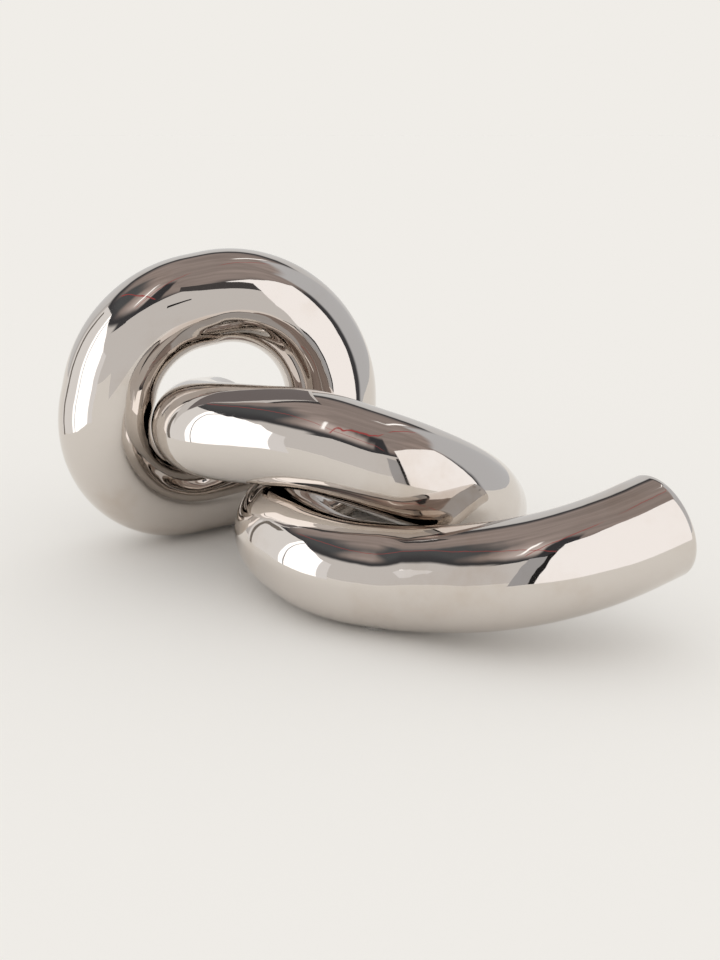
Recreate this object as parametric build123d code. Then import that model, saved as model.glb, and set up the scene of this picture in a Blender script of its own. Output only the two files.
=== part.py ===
from build123d import *
import os
from math import acos, tan

# Knot sculpture: one polished tube tied in a loose overhand knot.
# From its free end on the right the tube runs left along the front, turns back and rises into
# an upright loop, comes round behind the loop, climbs over its own front and ends in the loop.
# Millimetres, +Z up, table at Z = 0, the front of the sculpture faces -Y.

# Tube stock
TUBE_OD = 48.0
TUBE_WALL = 2.0
# Clear space allowed where the tube passes itself, and the distance between the axes there
STRAND_GAP = 0.5
PITCH = TUBE_OD + STRAND_GAP

# Butt joints between bent lengths, each backed by a sleeve in the bore
JOINT_GAP = 0.1
SLEEVE_LENGTH = 9.0
SLEEVE_WALL = 2.0
SLEEVE_FIT = 0.15

# Flat cap with a rounded rim on the free end, domed cap on the end inside the loop
CAP_RIM_RADIUS = 5.0
CAP_SKIRT = 2.0
CAP_LENGTH = CAP_RIM_RADIUS + CAP_SKIRT
CAP_WALL = 2.5
SPIGOT_LENGTH = 6.0
SPIGOT_WALL = 2.0

# Felt pads under the runs that lie on the table
PAD_DIAMETER = 12.0
PAD_THICKNESS = 1.0
PAD_FIT = 0.2

# Height of the axis of every run that lies on the table
REST_AXIS = PAD_THICKNESS + TUBE_OD / 2
# What goes into the bore is this much smaller, on the radius of the bore
BORE_RADIUS = TUBE_OD / 2 - TUBE_WALL
INSIDE_BORE = BORE_RADIUS - SLEEVE_FIT


def on_route(x, y, rise):
    """Point of the tube route, in pitches from the middle of the front and from the resting axis."""
    return Vector(x * PITCH, y * PITCH, REST_AXIS + rise * PITCH)


# Corner points of the tube axis, from the free end to the end inside the loop
CORNERS = [
    on_route(2.78, 0.42, 0.61),
    on_route(1.64, -0.09, 0.26),
    on_route(0.44, 0.59, 0.00),
    on_route(-0.28, 0.87, 0.00),
    on_route(-0.91, 1.76, 0.10),
    on_route(-0.32, 3.02, 0.18),
    on_route(-0.32, 3.53, 2.47),
    on_route(-2.45, 2.75, 2.10),
    on_route(-2.97, 2.72, 0.00),
    on_route(-0.19, 4.78, 0.00),
    on_route(1.37, 2.48, 0.00),
    on_route(0.92, 0.99, 0.76),
    on_route(-0.46, 1.44, 1.12),
    on_route(-1.66, 2.11, 1.05),
]
# Bend radius of the axis at each corner between the ends, in pitches
BENDS = [1.89, 1.66, 1.22, 0.86, 0.89, 1.08, 1.11, 1.00, 0.91, 1.37, 0.86, 1.78]

# One bent length for each of these corners, and one sleeve between each two lengths
TUBE_NAMES = [
    "tail_tube", "front_tube", "front_left_bend", "left_return_bend",
    "loop_right_foot", "loop_top_right", "loop_top_left", "loop_left_foot",
    "back_bend", "right_bend", "rising_bend", "upper_arm",
]
SLEEVE_NAMES = [
    "tail_sleeve", "front_sleeve", "left_sleeve", "loop_foot_sleeve",
    "loop_right_sleeve", "loop_top_sleeve", "loop_left_sleeve", "loop_base_sleeve",
    "back_sleeve", "right_sleeve", "arm_sleeve",
]
# Runs that carry a felt pad
PADDED_RUNS = [2, 8, 9]


def tangent_length(before, corner, after, bend):
    """Distance from a corner to where its arc starts."""
    turn = acos((corner - before).normalized().dot((after - corner).normalized()))
    return bend * PITCH * tan(turn / 2)


def tube_along(start, corner, end, bend):
    """Hollow tube swept along two straight runs and the arc between them."""
    path = FilletPolyline(start, corner, end, radius=bend * PITCH)
    wall = Circle(TUBE_OD / 2) - Circle(BORE_RADIUS)
    return sweep(Plane(origin=start, z_dir=corner - start) * wall, path=path)


def sleeve_at(middle, along):
    """Backing sleeve inside the bore, half of it on each side of a butt joint."""
    ring = Circle(INSIDE_BORE) - Circle(INSIDE_BORE - SLEEVE_WALL)
    return extrude(Plane(origin=middle, z_dir=along) * ring, amount=SLEEVE_LENGTH / 2, both=True)


def pad_under(middle, along):
    """Felt pad hollowed to the underside of the tube that it carries."""
    height = REST_AXIS - ((TUBE_OD / 2) ** 2 - (PAD_DIAMETER / 2) ** 2) ** 0.5
    disc = extrude(Pos(middle.X, middle.Y) * Circle(PAD_DIAMETER / 2), amount=height)
    tube_face = Plane(origin=middle, z_dir=along) * Circle(TUBE_OD / 2 + PAD_FIT)
    return disc - extrude(tube_face, amount=PAD_DIAMETER, both=True)


# Straight runs: their directions, and their middles, where the lengths are cut square
last = len(CORNERS) - 1
cuts = [0.0]
for i, bend in enumerate(BENDS, start=1):
    cuts.append(tangent_length(CORNERS[i - 1], CORNERS[i], CORNERS[i + 1], bend))
cuts.append(0.0)
runs = []
middles = []
for i in range(last):
    along = (CORNERS[i + 1] - CORNERS[i]).normalized()
    runs.append(along)
    middles.append((CORNERS[i] + along * cuts[i] + CORNERS[i + 1] - along * cuts[i + 1]) * 0.5)

pieces = {}

# Bent lengths and the sleeves at their joints
for i, name in enumerate(TUBE_NAMES):
    start = middles[i] + runs[i] * (JOINT_GAP / 2)
    end = middles[i + 1] - runs[i + 1] * (JOINT_GAP / 2)
    if i == 0:
        start = CORNERS[0] + runs[0] * (CAP_LENGTH + JOINT_GAP)
    if i == len(TUBE_NAMES) - 1:
        end = CORNERS[last] - runs[last - 1] * JOINT_GAP
    pieces[name] = tube_along(start, CORNERS[i + 1], end, BENDS[i])
for i, name in enumerate(SLEEVE_NAMES, start=1):
    pieces[name] = sleeve_at(middles[i], runs[i])

# Flat cap on the free end: a turned cup with a rounded rim and a spigot in the bore
spigot_inside = INSIDE_BORE - SPIGOT_WALL
spigot_end = CAP_LENGTH + SPIGOT_LENGTH
cap_outline = Polyline(
    (0, 0), (TUBE_OD / 2, 0), (TUBE_OD / 2, CAP_LENGTH), (INSIDE_BORE, CAP_LENGTH),
    (INSIDE_BORE, spigot_end), (spigot_inside, spigot_end),
    (spigot_inside, CAP_WALL), (0, CAP_WALL), close=True)
cap_face = make_face(cap_outline)
cap_face = fillet(cap_face.vertices().sort_by_distance((TUBE_OD / 2, 0))[0], CAP_RIM_RADIUS)
cap_solid = revolve(Plane.XZ * cap_face, axis=Axis.Z)
pieces["tail_end_cap"] = Plane(origin=CORNERS[0], z_dir=runs[0]) * cap_solid

# Domed cap on the end inside the loop, with the same spigot
dome = Sphere(TUBE_OD / 2) - Sphere(TUBE_OD / 2 - CAP_WALL)
dome = split(dome, Plane.XY, keep=Keep.TOP)
dome += extrude(Circle(INSIDE_BORE) - Circle(spigot_inside), amount=-SPIGOT_LENGTH)
pieces["inner_end_cap"] = Plane(origin=CORNERS[last], z_dir=runs[last - 1]) * dome

# Felt pads
pads = [pad_under(middles[i], runs[i]) for i in PADDED_RUNS]
pieces["felt_pads"] = pads[0] + pads[1:]

# The origin is the middle of the overall box, on the table
boxes = [shape.bounding_box() for shape in pieces.values()]
left, right = min(box.min.X for box in boxes), max(box.max.X for box in boxes)
front, back = min(box.min.Y for box in boxes), max(box.max.Y for box in boxes)
top = max(box.max.Z for box in boxes)
shift = Pos(-(left + right) / 2, -(front + back) / 2, 0)
os.makedirs("parts", exist_ok=True)
for name, shape in pieces.items():
    export_step(shift * shape, f"parts/{name}.step")
print(f"overall {right - left:.1f} x {back - front:.1f} x {top:.1f}, route origin moved by {shift.position}")
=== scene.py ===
import math

import bpy
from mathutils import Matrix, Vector


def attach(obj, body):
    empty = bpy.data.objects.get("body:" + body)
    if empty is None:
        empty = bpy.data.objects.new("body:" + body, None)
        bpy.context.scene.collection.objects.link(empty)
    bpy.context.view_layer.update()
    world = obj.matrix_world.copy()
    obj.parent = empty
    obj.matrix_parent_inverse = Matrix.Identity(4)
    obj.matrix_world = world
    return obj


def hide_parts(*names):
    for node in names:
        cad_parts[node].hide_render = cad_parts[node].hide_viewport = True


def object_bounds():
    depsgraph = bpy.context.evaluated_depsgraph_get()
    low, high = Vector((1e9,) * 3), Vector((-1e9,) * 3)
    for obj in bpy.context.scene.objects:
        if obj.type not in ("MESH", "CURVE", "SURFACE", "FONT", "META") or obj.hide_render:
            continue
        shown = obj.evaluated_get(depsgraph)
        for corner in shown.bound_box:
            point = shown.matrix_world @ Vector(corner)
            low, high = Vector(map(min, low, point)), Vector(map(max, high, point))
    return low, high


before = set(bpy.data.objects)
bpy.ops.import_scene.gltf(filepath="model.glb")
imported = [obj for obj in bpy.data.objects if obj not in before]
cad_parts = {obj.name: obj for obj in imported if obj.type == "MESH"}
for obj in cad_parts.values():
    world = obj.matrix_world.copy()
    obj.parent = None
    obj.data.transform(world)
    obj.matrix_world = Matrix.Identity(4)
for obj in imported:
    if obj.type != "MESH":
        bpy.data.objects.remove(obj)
cad_low, cad_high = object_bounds()

# Tube lengths: twelve lengths of steel tube, one bend in each, butted end to end over sleeves.
# The joints are welded, ground flush and mirror polished, so the eye sees one tube tied in a
# loose overhand knot, from the free end on the right to the arm that goes into the loop.
TUBE_RADIUS = 0.024
TUBE_WALL = 0.002
PITCH = 0.0485
REST_AXIS = 0.025
CAP_LENGTH = 0.007
ROUTE_MOVED = Vector((0.0055137, -0.1095211, 0))


def on_route(x, y, rise):
    """Point of the tube axis, in pitches from the middle of the front and from the resting axis."""
    return ROUTE_MOVED + Vector((x * PITCH, y * PITCH, REST_AXIS + rise * PITCH))


CORNERS = [
    on_route(2.78, 0.42, 0.61),
    on_route(1.64, -0.09, 0.26),
    on_route(0.44, 0.59, 0.00),
    on_route(-0.28, 0.87, 0.00),
    on_route(-0.91, 1.76, 0.10),
    on_route(-0.32, 3.02, 0.18),
    on_route(-0.32, 3.53, 2.47),
    on_route(-2.45, 2.75, 2.10),
    on_route(-2.97, 2.72, 0.00),
    on_route(-0.19, 4.78, 0.00),
    on_route(1.37, 2.48, 0.00),
    on_route(0.92, 0.99, 0.76),
    on_route(-0.46, 1.44, 1.12),
    on_route(-1.66, 2.11, 1.05),
]
BENDS = [1.89, 1.66, 1.22, 0.86, 0.89, 1.08, 1.11, 1.00, 0.91, 1.37, 0.86, 1.78]
TUBE_NODES = [
    "tail_tube", "front_tube", "front_left_bend", "left_return_bend",
    "loop_right_foot", "loop_top_right", "loop_top_left", "loop_left_foot",
    "back_bend", "right_bend", "rising_bend", "upper_arm",
]
SIDES = 128
BEND_STEP = 0.0016
SMOOTH_BELOW = math.radians(30)


def turned_along(direction):
    """Rotation of a primitive whose own axis is to point in a direction."""
    return direction.to_track_quat("Z", "Y").to_euler()


def tangent_length(along_in, along_out, bend_radius):
    """Distance from a corner of the route to where its bend starts."""
    return bend_radius * math.tan(along_in.angle(along_out) / 2)


def finish_shell(piece, wall):
    """Ends the edit of an open skin: gives it its wall, inwards, and smooth faces with crisp rims."""
    bpy.ops.mesh.select_all(action="SELECT")
    bpy.ops.mesh.normals_make_consistent(inside=False)
    bpy.ops.object.mode_set(mode="OBJECT")
    bpy.ops.object.modifier_add(type="SOLIDIFY")
    solidify = piece.modifiers[-1]
    solidify.thickness = wall
    solidify.offset = -1
    bpy.ops.object.modifier_apply(modifier=solidify.name)
    bpy.ops.object.shade_smooth_by_angle(angle=SMOOTH_BELOW)


def bent_tube(name, start, corner, end, bend_radius):
    """A circle drawn along a straight run, turned round the axis of the bend and drawn on."""
    along_in = (corner - start).normalized()
    along_out = (end - corner).normalized()
    turn = along_in.angle(along_out)
    cut = tangent_length(along_in, along_out, bend_radius)
    bend_start = corner - along_in * cut
    bend_end = corner + along_out * cut
    inward = (along_out - along_in * along_in.dot(along_out)).normalized()
    bpy.ops.object.select_all(action="DESELECT")
    bpy.ops.mesh.primitive_circle_add(
        vertices=SIDES, radius=TUBE_RADIUS, location=start, rotation=turned_along(along_in))
    tube = bpy.context.object
    tube.name = name
    bpy.ops.object.transform_apply(location=True, rotation=True, scale=True)
    bpy.ops.object.mode_set(mode="EDIT")
    bpy.ops.mesh.select_all(action="SELECT")
    bpy.ops.mesh.extrude_region_move(TRANSFORM_OT_translate={"value": bend_start - start})
    bpy.ops.mesh.spin(
        steps=math.ceil(turn * (bend_radius + TUBE_RADIUS) / BEND_STEP), angle=-turn,
        center=bend_start + inward * bend_radius, axis=along_in.cross(along_out).normalized())
    bpy.ops.mesh.extrude_region_move(TRANSFORM_OT_translate={"value": end - bend_end})
    finish_shell(tube, TUBE_WALL)
    return tube


class Shade:
    """A shader socket that Python arithmetic can be done on."""

    def __init__(self, tree, socket=None):
        self.tree = tree
        self.socket = socket

    def node(self, kind, settings=None, sockets=None, out=0):
        """Adds a node: its settings first, then the values or links of its sockets."""
        node = self.tree.nodes.new(kind)
        for key, value in (settings or {}).items():
            setattr(node, key, value)
        for key, value in (sockets or {}).items():
            if isinstance(value, Shade):
                self.tree.links.new(value.socket, node.inputs[key])
            else:
                node.inputs[key].default_value = value
        return Shade(self.tree, node.outputs[out]) if node.outputs else None

    def maths(self, operation, first, second=0.0):
        """Works out one step of arithmetic on numbers or sockets."""
        return self.node("ShaderNodeMath", {"operation": operation}, {0: first, 1: second})

    def __add__(self, other):
        return self.maths("ADD", self, other)

    def __radd__(self, other):
        return self.maths("ADD", other, self)

    def __sub__(self, other):
        return self.maths("SUBTRACT", self, other)

    def __rsub__(self, other):
        return self.maths("SUBTRACT", other, self)

    def __mul__(self, other):
        return self.maths("MULTIPLY", self, other)

    def __rmul__(self, other):
        return self.maths("MULTIPLY", other, self)

    def smooth(self, low, high):
        """0 below low, 1 above high, with a soft step between them."""
        return self.node("ShaderNodeMapRange", {"interpolation_type": "SMOOTHSTEP"},
                         {"Value": self, "From Min": low, "From Max": high})

    def between(self, low, high, soft):
        """1 from low to high, fading out over a soft edge."""
        return self.smooth(low - soft, low + soft) * (1 - self.smooth(high - soft, high + soft))

    def blend(self, first, second):
        """Mixes two colours by this factor."""
        return self.node("ShaderNodeMix", {"data_type": "RGBA"}, {0: self, 6: first, 7: second}, out=2)

    def place(self):
        """The place on the object that the material is on."""
        return self.node("ShaderNodeTexCoord", out="Object")

    def noise(self, place, scale, detail=2.0, roughness=0.5):
        """Cloudy pattern, about 0 to 1."""
        return self.node("ShaderNodeTexNoise", None,
                         {"Vector": place, "Scale": scale, "Detail": detail, "Roughness": roughness})

    def bump(self, height, strength, distance):
        """Normal of a surface with a fine relief."""
        return self.node("ShaderNodeBump", None,
                         {"Height": height, "Strength": strength, "Distance": distance})


def new_material(name):
    """An empty node material and a Shade to build it with."""
    material = bpy.data.materials.new(name)
    material.use_nodes = True
    material.node_tree.nodes.clear()
    return material, Shade(material.node_tree)


def principled(shade, sockets):
    """Ends a material with a Principled shader."""
    shader = shade.node("ShaderNodeBsdfPrincipled", None, sockets)
    shade.node("ShaderNodeOutputMaterial", None, {"Surface": shader})


SILVER = (0.70, 0.655, 0.615, 1)
STAINED_SILVER = (0.56, 0.47, 0.39, 1)
polished, shade = new_material("polished_steel")
place = shade.place()
stain = shade.noise(place, scale=16.0, detail=5.0, roughness=0.6).smooth(0.50, 0.74)
haze = shade.noise(place, scale=45.0, detail=3.0, roughness=0.55).smooth(0.55, 0.75)
waves = shade.noise(place, scale=38.0, detail=1.0, roughness=0.3)
ripples = shade.noise(place, scale=130.0, detail=1.0, roughness=0.4)
principled(shade, {
    "Base Color": (0.6 * stain).blend(SILVER, STAINED_SILVER),
    "Metallic": 1.0,
    "Roughness": 0.03 + 0.05 * stain + 0.03 * haze,
    "Normal": shade.bump(waves + 0.12 * ripples, strength=0.5, distance=0.0009),
})


def dress(piece, node, material):
    """Gives a piece its finish and lets it stand for its node."""
    piece.data.materials.clear()
    piece.data.materials.append(material)
    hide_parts(node)
    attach(piece, "root")


# The lengths meet in the middle of the straight runs between the bends
last = len(CORNERS) - 1
cuts = [0.0]
for i, bend in enumerate(BENDS, start=1):
    cuts.append(tangent_length(CORNERS[i] - CORNERS[i - 1], CORNERS[i + 1] - CORNERS[i], bend * PITCH))
cuts.append(0.0)
runs = []
joints = []
for i in range(last):
    along = (CORNERS[i + 1] - CORNERS[i]).normalized()
    runs.append(along)
    joints.append((CORNERS[i] + along * cuts[i] + CORNERS[i + 1] - along * cuts[i + 1]) / 2)
# The arm goes on into the inner bend, so it ends in the middle of the run between their bends
INNER_CORNER = on_route(-1.90, 2.244, 1.036)
INNER_END = on_route(-1.60, 3.03, 0.90)
INNER_BEND = 0.86
inner_cut = tangent_length(runs[-1], INNER_END - INNER_CORNER, INNER_BEND * PITCH)
arm_bend_end = CORNERS[last - 1] + runs[-1] * cuts[last - 1]
inner_start = (arm_bend_end + INNER_CORNER - runs[-1] * inner_cut) / 2
tube_ends = [CORNERS[0] + runs[0] * CAP_LENGTH, *joints[1:-1], inner_start]
for i, node in enumerate(TUBE_NODES):
    tube = bent_tube(f"{node}_skin", tube_ends[i], CORNERS[i + 1], tube_ends[i + 1], BENDS[i] * PITCH)
    dress(tube, node, polished)

# Inner bend: the last length of the tube, which turns back through the loop behind the arm.
# It is welded to the upper arm, and the joint is ground flush and polished.
inner_bend = bent_tube("inner_bend_skin", inner_start, INNER_CORNER, INNER_END, INNER_BEND * PITCH)
dress(inner_bend, "inner_end_cap", polished)

# Tail end cap: a turned cup that closes the free end with a flat face and a rounded rim.
# Its spigot sits in the bore of the tail tube, and the joint is ground flush.
CAP_RIM_RADIUS = 0.005
CAP_WALL = 0.0025
SPIGOT_LENGTH = 0.006
SPIGOT_WALL = 0.002
BORE_FIT = 0.00015
RIM_SEGMENTS = 24
STRAIGHT_ON = 0.9
tail_along = runs[0]
bpy.ops.object.select_all(action="DESELECT")
bpy.ops.mesh.primitive_cylinder_add(
    vertices=SIDES, radius=TUBE_RADIUS, depth=CAP_LENGTH,
    location=CORNERS[0] + tail_along * (CAP_LENGTH / 2), rotation=turned_along(tail_along))
cap = bpy.context.object
cap.name = "tail_end_cap_skin"
bpy.ops.object.transform_apply(location=True, rotation=True, scale=True)


def select_facing(piece, direction):
    """Selects, in edit mode, the faces that look in a direction."""
    bpy.ops.object.mode_set(mode="EDIT")
    bpy.ops.mesh.select_mode(type="FACE")
    bpy.ops.mesh.select_all(action="DESELECT")
    bpy.ops.object.mode_set(mode="OBJECT")
    for face in piece.data.polygons:
        face.select = face.normal.dot(direction) > STRAIGHT_ON
    bpy.ops.object.mode_set(mode="EDIT")


select_facing(cap, -tail_along)
bpy.ops.mesh.bevel(offset=CAP_RIM_RADIUS, segments=RIM_SEGMENTS, affect="EDGES")
select_facing(cap, tail_along)
bpy.ops.mesh.inset(thickness=TUBE_WALL + BORE_FIT)
bpy.ops.mesh.extrude_region_move(TRANSFORM_OT_translate={"value": tail_along * SPIGOT_LENGTH})
bpy.ops.mesh.inset(thickness=SPIGOT_WALL)
bpy.ops.mesh.extrude_region_move(
    TRANSFORM_OT_translate={"value": tail_along * (CAP_WALL - CAP_LENGTH - SPIGOT_LENGTH)})
bpy.ops.mesh.select_all(action="SELECT")
bpy.ops.mesh.normals_make_consistent(inside=False)
bpy.ops.object.mode_set(mode="OBJECT")
bpy.ops.object.shade_smooth_by_angle(angle=SMOOTH_BELOW)
dress(cap, "tail_end_cap", polished)

# Inner end cap: a spun dome that closes the tube where it ends inside the loop.
# It is welded to the tube and polished with it.
DOME_RINGS = 96
dome_along = (INNER_END - INNER_CORNER).normalized()
bpy.ops.object.select_all(action="DESELECT")
bpy.ops.mesh.primitive_uv_sphere_add(
    segments=SIDES, ring_count=DOME_RINGS, radius=TUBE_RADIUS, location=INNER_END,
    rotation=turned_along(dome_along))
dome = bpy.context.object
dome.name = "inner_end_cap_skin"
bpy.ops.object.transform_apply(location=True, rotation=True, scale=True)
bpy.ops.object.mode_set(mode="EDIT")
bpy.ops.mesh.select_all(action="SELECT")
bpy.ops.mesh.bisect(plane_co=INNER_END, plane_no=dome_along, clear_inner=True)
finish_shell(dome, CAP_WALL)
dress(dome, "inner_end_cap", polished)

# Sleeves: short turned steel rings in the bore that back the butt joints.
# They are out of sight once the lengths are joined, and keep their turning marks.
TURNED_STEEL = (0.55, 0.55, 0.56, 1)
WORN_STEEL = (0.42, 0.42, 0.43, 1)
turned, shade = new_material("turned_steel")
grooves = shade.noise(shade.place(), scale=900.0)
principled(shade, {
    "Base Color": grooves.smooth(0.35, 0.65).blend(TURNED_STEEL, WORN_STEEL),
    "Metallic": 1.0,
    "Roughness": 0.3 + 0.15 * grooves,
    "Normal": shade.bump(grooves, strength=0.2, distance=0.0001),
})
for node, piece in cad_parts.items():
    if node.endswith("_sleeve"):
        piece.data.materials.clear()
        piece.data.materials.append(turned)

# Felt pads: three discs of grey wool felt glued under the runs that lie on the table.
# Each is pressed to the round of the tube that stands on it.
PAD_RADIUS = 0.006
PAD_HEIGHT = 0.00176
PAD_SIDES = 96
PAD_EDGE = 0.0002
PAD_EDGE_SEGMENTS = 3
PAD_FIT = 0.0001
PADDED_RUNS = [2, 8, 9]
DOWN = Vector((0, 0, -1))
FELT = (0.30, 0.29, 0.275, 1)
FELT_FIBRE = (0.46, 0.445, 0.425, 1)
felt, shade = new_material("wool_felt")
fibres = shade.noise(shade.place(), scale=2200.0, detail=4.0, roughness=0.7)
principled(shade, {
    "Base Color": fibres.smooth(0.35, 0.7).blend(FELT, FELT_FIBRE),
    "Roughness": 0.95,
    "Normal": shade.bump(fibres, strength=0.6, distance=0.0002),
})
for run in PADDED_RUNS:
    bpy.ops.object.select_all(action="DESELECT")
    bpy.ops.mesh.primitive_cylinder_add(
        vertices=PAD_SIDES, radius=TUBE_RADIUS + PAD_FIT, depth=PAD_RADIUS * 4,
        location=joints[run], rotation=turned_along(runs[run]))
    tube_shape = bpy.context.object
    bpy.ops.mesh.primitive_cylinder_add(
        vertices=PAD_SIDES, radius=PAD_RADIUS, depth=PAD_HEIGHT,
        location=(joints[run].x, joints[run].y, PAD_HEIGHT / 2))
    pad = bpy.context.object
    pad.name = f"felt_pad_{run}"
    bpy.ops.object.transform_apply(location=True, rotation=True, scale=True)
    select_facing(pad, DOWN)
    bpy.ops.mesh.bevel(offset=PAD_EDGE, segments=PAD_EDGE_SEGMENTS, affect="EDGES")
    bpy.ops.object.mode_set(mode="OBJECT")
    bpy.ops.object.modifier_add(type="BOOLEAN")
    pressed = pad.modifiers[-1]
    pressed.operation = "DIFFERENCE"
    pressed.object = tube_shape
    bpy.ops.object.modifier_apply(modifier=pressed.name)
    bpy.ops.object.shade_smooth_by_angle(angle=SMOOTH_BELOW)
    bpy.data.objects.remove(tube_shape)
    dress(pad, "felt_pads", felt)

# Table top: a pale, matt surface that carries the sculpture and its soft shadow.
# It goes on to the horizon, so that the background is as plain as the floor.
TABLE_SIZE = 12.0
TABLE_COLOUR = (0.871, 0.86, 0.84, 1)
bpy.ops.object.select_all(action="DESELECT")
bpy.ops.mesh.primitive_plane_add(size=TABLE_SIZE, location=(0, 0, cad_low.z))
table = bpy.context.object
table.name = "table_top"
lacquer, shade = new_material("matt_lacquer")
principled(shade, {"Base Color": TABLE_COLOUR, "Roughness": 0.6, "Specular IOR Level": 0.0})
table.data.materials.append(lacquer)

# Boards: glowing upright cards round the sculpture, seen only in the polished metal as painted
# reflections.
# Each is given by the two lower corners, its height at each end and its brightness.
FRONT_WALL = (0.72, 0.70, 0.685, 1)
CARD_BACK = (0.20, 0.18, 0.18, 1)
BLACK = (0.02, 0.02, 0.02, 1)
BOARDS = [
    ("far_wall", (-2.60, -1.27, 0), (1.60, -1.27, 0), 1.03, 1.03, FRONT_WALL),
    ("dim_board", (-0.022, -0.366, 0), (0.05, -0.366, 0), 0.27, 0.25, (0.44, 0.44, 0.45, 1)),
    ("gap_shade", (0.034, -0.363, 0), (0.056, -0.363, 0), 0.28, 0.30, BLACK),
    ("white_board", (0.052, -0.36, 0), (0.50, -0.16, 0), 0.43, 0.72, (1.24, 1.22, 1.22, 1)),
    ("window", (-0.36, -0.045, 0), (-0.305, -0.232, 0), 0.36, 0.20, (1.8, 1.8, 1.82, 1)),
    ("window_bar", (-0.3490, -0.070, 0), (-0.3475, -0.0751, 0), 0.345, 0.345, (0.25, 0.25, 0.25, 1)),
    ("window_return", (-0.305, -0.232, 0), (-0.25, -0.25, 0), 0.20, 0.17, (0.90, 0.89, 0.89, 1)),
    ("side_board", (-0.37, 0.13, 0), (-0.36, -0.045, 0), 0.33, 0.36, (0.92, 0.91, 0.90, 1)),
    ("side_post", (-0.355, 0.10, 0), (-0.355, 0.075, 0), 0.30, 0.30, (0.22, 0.20, 0.18, 1)),
    # Cards hung in the loop's opening paint a reflection onto the loop: a pale patch, dark edges and a
    # dark slit.
    ("loop_card_left", (-0.118, -0.015, 0.085), (-0.075, -0.015, 0.110), 0.057, 0.057, FRONT_WALL),
    ("loop_card", (-0.075, -0.015, 0.110), (-0.017, -0.015, 0.110), 0.057, 0.048, FRONT_WALL),
    ("loop_card_back", (-0.112, -0.0158, 0.110), (-0.019, -0.0158, 0.110), 0.032, 0.046, CARD_BACK),
    ("loop_shade", (-0.077, -0.015, 0.167), (-0.017, -0.015, 0.158), 0.015, 0.022, (0.075, 0.07, 0.07, 1)),
    ("loop_slot", (-0.084, -0.0145, 0.1415), (-0.065, -0.0145, 0.1465), 0.003, 0.002, BLACK),
]
for name, foot_left, foot_right, height_left, height_right, colour in BOARDS:
    left = Vector(foot_left)
    right = Vector(foot_right)
    bpy.ops.object.select_all(action="DESELECT")
    bpy.ops.mesh.primitive_plane_add(size=1)
    board = bpy.context.object
    board.name = name
    corners = [left, right, left + Vector((0, 0, height_left)), right + Vector((0, 0, height_right))]
    for vertex, corner in zip(board.data.vertices, corners):
        vertex.co = corner
    material, shade = new_material(name)
    glow = shade.node("ShaderNodeEmission", None, {"Color": colour})
    shade.node("ShaderNodeOutputMaterial", None, {"Surface": glow})
    board.data.materials.append(material)
    board.visible_camera = False
    board.visible_diffuse = False
    board.visible_shadow = False

# Studio: even soft light from all round. The polished metal also mirrors pale walls and a dim
# ceiling with streaks, a few red lines and one bright tube, told apart by direction.
PALE = (0.871, 0.847, 0.806, 1)
SOFT_LIGHT = (1.0, 0.985, 0.96, 1)
BACK_WALL = (0.70, 0.70, 0.70, 1)
RIGHT_WALL = (0.60, 0.61, 0.63, 1)
CEILING_EDGE = (0.06, 0.06, 0.065, 1)
CEILING_DIM = (0.28, 0.237, 0.22, 1)
CEILING_MID = (0.45, 0.378, 0.352, 1)
CEILING_LIT = (0.64, 0.56, 0.53, 1)
CEILING_SHADE = (0.10, 0.105, 0.11, 1)
BEAM = (0.05, 0.05, 0.055, 1)
RED_LINE = (0.45, 0.08, 0.08, 1)
BRIGHT_TUBE = (1.5, 1.5, 1.5, 1)
# Azimuths in degrees to the right of the front: from, to, and a soft edge
FRONT_WALL_SPAN = (-122, -40, 4)
RIGHT_WALL_SPAN = (82, 150, 4)
NO_BACK_WALL_SPAN = (-122, 118, 4)
LIT_SPAN = (-46, -18, 10)
SHADE_SPAN = (-112, -63, 8)
BEAM_SPAN = (-20, -2, 2)
# Heights in degrees over the horizon: where something fades in or out, or from, to, and a soft edge
WALL_TOP = (33, 38)
RIGHT_WALL_TOP = (54, 60)
CEILING_START = (39, 50)
LIT_TOP = (60, 72)
SHADE_TOP = (58, 72)
BEAM_TOP = (66, 74)
RED_HEIGHTS = (46, 82, 2)
TUBE_HEIGHTS = (50, 68, 3)
# Lines over the ceiling: the normal of the plane that each lies in, and where its edge fades out
RED_NORMALS = [(0.86, 0.50, 0.60), (0.80, -0.55, -0.10)]
RED_EDGE = (0.004, 0.009)
TUBE_NORMAL = (0.84, -0.50, 0.06)
TUBE_EDGE = (0.012, 0.02)
DEGREES = 180 / math.pi
world = bpy.data.worlds.new("studio")
world.use_nodes = True
world.node_tree.nodes.clear()
bpy.context.scene.world = world
shade = Shade(world.node_tree)
direction = shade.node("ShaderNodeTexCoord", out="Generated")
across, away, rise = (
    shade.node("ShaderNodeSeparateXYZ", None, {"Vector": direction}, out=axis) for axis in "XYZ")
azimuth = DEGREES * shade.maths("ARCTAN2", across, 0 - away)
height = DEGREES * shade.maths("ARCSINE", rise)


def line_mask(normal, edge):
    """1 on a straight line over the ceiling, 0 beside it."""
    off_line = shade.maths("ABSOLUTE", normal[0] * across + normal[1] * away + normal[2] * rise)
    return 1 - off_line.smooth(*edge)


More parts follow.
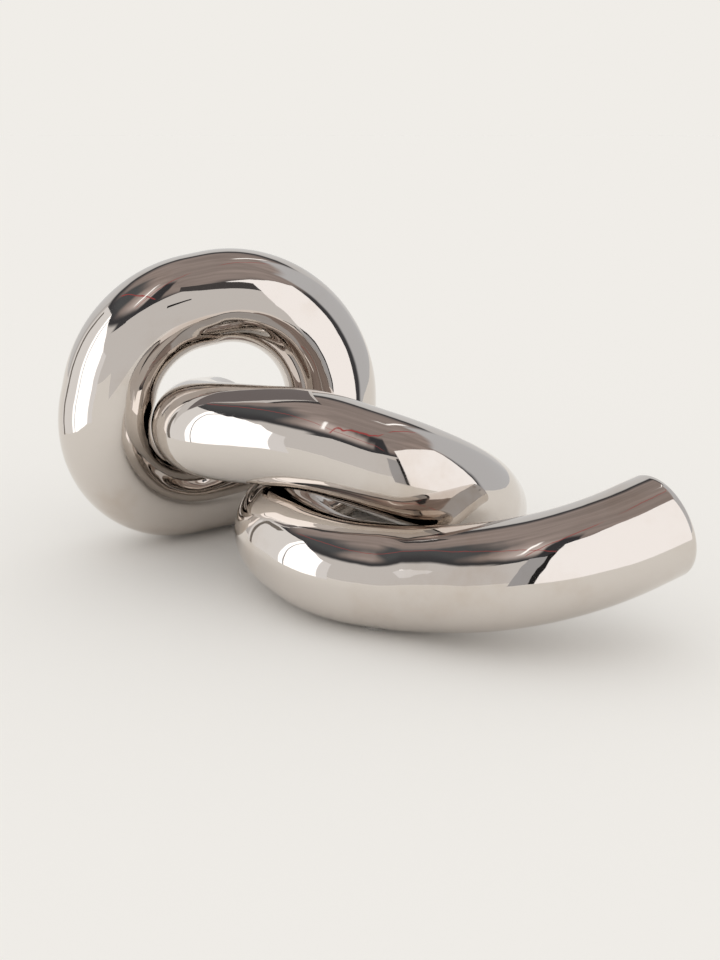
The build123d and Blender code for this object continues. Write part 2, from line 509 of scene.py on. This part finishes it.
stretched = shade.node("ShaderNodeMapping", None, {
    "Vector": direction,
    "Scale": (1.5, 5.0, 1.0),
    "Rotation": (0, 0, 0.5),
})
streaks = shade.noise(stretched, scale=1.6).smooth(0.15, 0.85)
ceiling = streaks.blend(CEILING_DIM, CEILING_MID)
lit = azimuth.between(*LIT_SPAN) * (1 - height.smooth(*LIT_TOP))
ceiling = lit.blend(ceiling, CEILING_LIT)
shaded = azimuth.between(*SHADE_SPAN) * (1 - height.smooth(*SHADE_TOP))
ceiling = shaded.blend(ceiling, CEILING_SHADE)
studio = height.smooth(*CEILING_START).blend(CEILING_EDGE, ceiling)
beam = azimuth.between(*BEAM_SPAN) * (1 - height.smooth(*BEAM_TOP))
studio = beam.blend(studio, BEAM)
first_red, second_red = (line_mask(normal, RED_EDGE) for normal in RED_NORMALS)
studio = ((first_red + second_red) * height.between(*RED_HEIGHTS)).blend(studio, RED_LINE)
bright_tube = line_mask(TUBE_NORMAL, TUBE_EDGE) * height.between(*TUBE_HEIGHTS)
studio = bright_tube.blend(studio, BRIGHT_TUBE)
below_ceiling = 1 - height.smooth(*WALL_TOP)
studio = (below_ceiling * (1 - azimuth.between(*NO_BACK_WALL_SPAN))).blend(studio, BACK_WALL)
studio = (below_ceiling * azimuth.between(*FRONT_WALL_SPAN)).blend(studio, FRONT_WALL)
right_wall = (1 - height.smooth(*RIGHT_WALL_TOP)) * azimuth.between(*RIGHT_WALL_SPAN)
studio = right_wall.blend(studio, RIGHT_WALL)
seen = shade.node("ShaderNodeLightPath", out="Is Camera Ray")
mirrored = shade.node("ShaderNodeLightPath", out="Is Glossy Ray")
light = seen.blend(mirrored.blend(SOFT_LIGHT, studio), PALE)
background = shade.node("ShaderNodeBackground", None, {"Color": light})
shade.node("ShaderNodeOutputWorld", None, {"Surface": background})

# Camera: the photograph's viewpoint, in front of the sculpture and a little above it.
# It looks straight towards the back, tilted down, through a lens of normal length.
CAMERA_PLACE = (0.00551, -0.6562, 0.24006)
CAMERA_DOWN = math.radians(16.327)
CAMERA_LENS = 50.82
CAMERA_SENSOR = 36
bpy.ops.object.camera_add(location=CAMERA_PLACE, rotation=(math.pi / 2 - CAMERA_DOWN, 0, 0))
camera = bpy.context.object
camera.data.lens = CAMERA_LENS
camera.data.sensor_width = CAMERA_SENSOR
bpy.context.scene.camera = camera
bpy.context.scene.view_settings.view_transform = "Standard"
